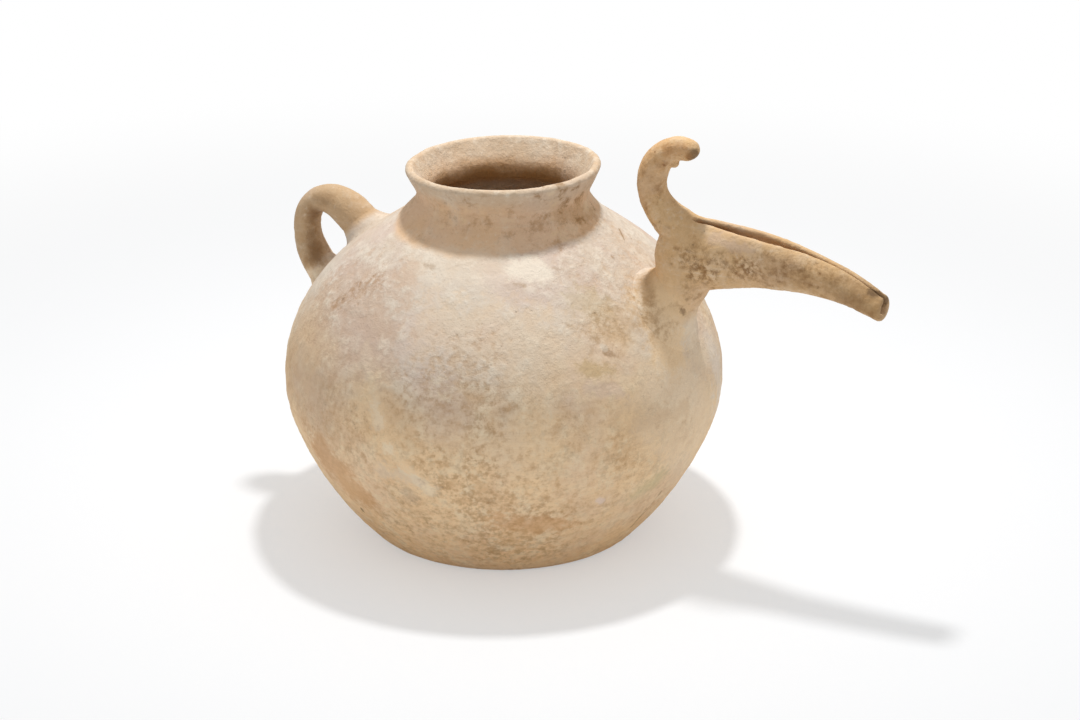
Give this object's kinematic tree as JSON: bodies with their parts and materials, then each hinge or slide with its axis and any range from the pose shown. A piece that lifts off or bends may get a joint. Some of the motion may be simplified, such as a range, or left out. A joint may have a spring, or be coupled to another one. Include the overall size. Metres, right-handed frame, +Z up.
{
  "type": "beak-spouted vessel",
  "caption": "Squat round-bellied unglazed clay jar with a flared mouth, an open beak-shaped pouring spout with a curled crest, and a small loop handle opposite.",
  "frame": {"origin": "centre of the flat base, on the axis that the wall was thrown about", "axes": "+Z up along the thrown axis, +X out along the spout, the handle on -X"},
  "size_m": [0.3032, 0.208, 0.2034],
  "materials": {
    "wall_clay": "unglazed, worn, with pale mineral deposits",
    "spout_clay": "unglazed, hand-smoothed, brown encrustation",
    "handle_clay": "unglazed, hand-rolled and smoothed",
    "luting_clay": "unglazed, smeared by finger"
  },
  "bodies": {
    "root": {"base_disc": "wall_clay", "lower_bowl": "wall_clay", "shoulder": "wall_clay", "neck_collar": "wall_clay", "rim_lip": "wall_clay", "spout_socket": "spout_clay", "beak_trough": "spout_clay", "crest_hook": "spout_clay", "loop_handle": "handle_clay", "spout_luting": "luting_clay", "handle_upper_luting": "luting_clay", "handle_lower_luting": "luting_clay"}
  },
  "joints": []
}
